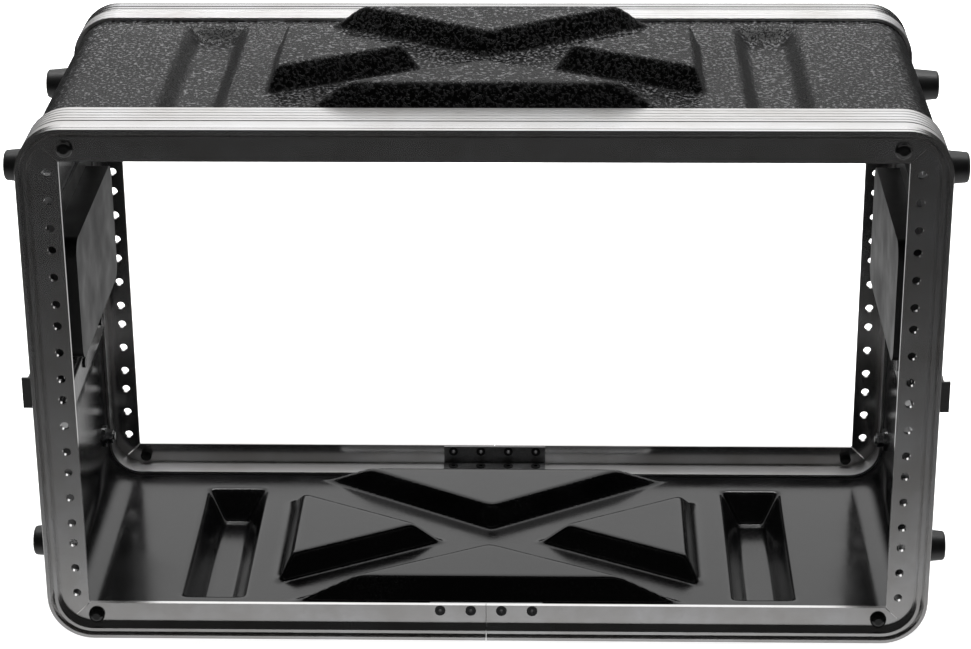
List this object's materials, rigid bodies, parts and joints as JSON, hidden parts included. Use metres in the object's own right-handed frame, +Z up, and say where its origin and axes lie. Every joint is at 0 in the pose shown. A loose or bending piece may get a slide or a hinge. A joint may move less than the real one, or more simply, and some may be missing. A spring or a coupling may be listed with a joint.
{
  "type": "equipment rack case",
  "caption": "Portable rack case body: moulded ABS shell between two aluminium frames with tapped rack flanges, rubber feet and recessed folding side handles; lids off.",
  "frame": {"origin": "middle of the footprint, at the level of the foot ribs", "axes": "+X across the case to its right, +Y from front to rear, +Z up"},
  "size_m": [0.526, 0.2286, 0.3348],
  "materials": {
    "abs_sheet": "haircell grain outside, gloss inside",
    "anodised_frame": "satin, drawn along the extrusion",
    "splice_steel": "plain",
    "dark_rivets": "dark plated",
    "rubber": "moulded",
    "black_steel": "powder coat",
    "black_fasteners": "black zinc",
    "zinc_steel": "bright zinc"
  },
  "bodies": {
    "case": {"foot_nuts_left": "zinc_steel", "foot_nuts_right": "zinc_steel", "foot_screws_left": "zinc_steel", "foot_screws_right": "zinc_steel", "foot_washers_left": "zinc_steel", "foot_washers_right": "zinc_steel", "front_corner_bumpers": "rubber", "front_frame": "anodised_frame", "front_splice_plate": "splice_steel", "front_splice_rivets": "dark_rivets", "handle_backing_left": "zinc_steel", "handle_backing_right": "zinc_steel", "handle_brackets_left": "black_steel", "handle_brackets_right": "black_steel", "handle_dish_left": "black_steel", "handle_dish_right": "black_steel", "handle_nuts_left": "zinc_steel", "handle_nuts_right": "zinc_steel", "handle_screws_left": "black_fasteners", "handle_screws_right": "black_fasteners", "handle_springs_left": "zinc_steel", "handle_springs_right": "zinc_steel", "keeper_front_left": "black_steel", "keeper_front_right": "black_steel", "keeper_rear_left": "black_steel", "keeper_rear_right": "black_steel", "keeper_rivets_front_left": "black_steel", "keeper_rivets_front_right": "black_steel", "keeper_rivets_rear_left": "black_steel", "keeper_rivets_rear_right": "black_steel", "lower_shell": "abs_sheet", "rear_corner_bumpers": "rubber", "rear_frame": "anodised_frame", "rear_splice_plate": "splice_steel", "rear_splice_rivets": "dark_rivets", "seam_rivets_left": "black_fasteners", "seam_rivets_right": "black_fasteners", "side_foot_front_lower_left": "rubber", "side_foot_front_lower_right": "rubber", "side_foot_front_upper_left": "rubber", "side_foot_front_upper_right": "rubber", "side_foot_rear_lower_left": "rubber", "side_foot_rear_lower_right": "rubber", "side_foot_rear_upper_left": "rubber", "side_foot_rear_upper_right": "rubber", "upper_shell": "abs_sheet"},
    "handle_right": {"handle_bail_right": "black_steel", "handle_grip_right": "rubber"},
    "handle_left": {"handle_bail_left": "black_steel", "handle_grip_left": "rubber"}
  },
  "joints": [
    {"name": "handle_right_fold", "type": "hinge", "parent": "case", "child": "handle_right", "pos_m": [0.2384, 0.0034, 0.22715], "axis": [0, -1, 0], "range_deg": [0, 90], "stiffness_Nm_per_rad": 0.12, "springref_deg": -28.65},
    {"name": "handle_left_fold", "type": "hinge", "parent": "case", "child": "handle_left", "pos_m": [-0.2384, 0.0034, 0.22715], "axis": [0, 1, 0], "range_deg": [0, 90], "stiffness_Nm_per_rad": 0.12, "springref_deg": -28.65}
  ]
}
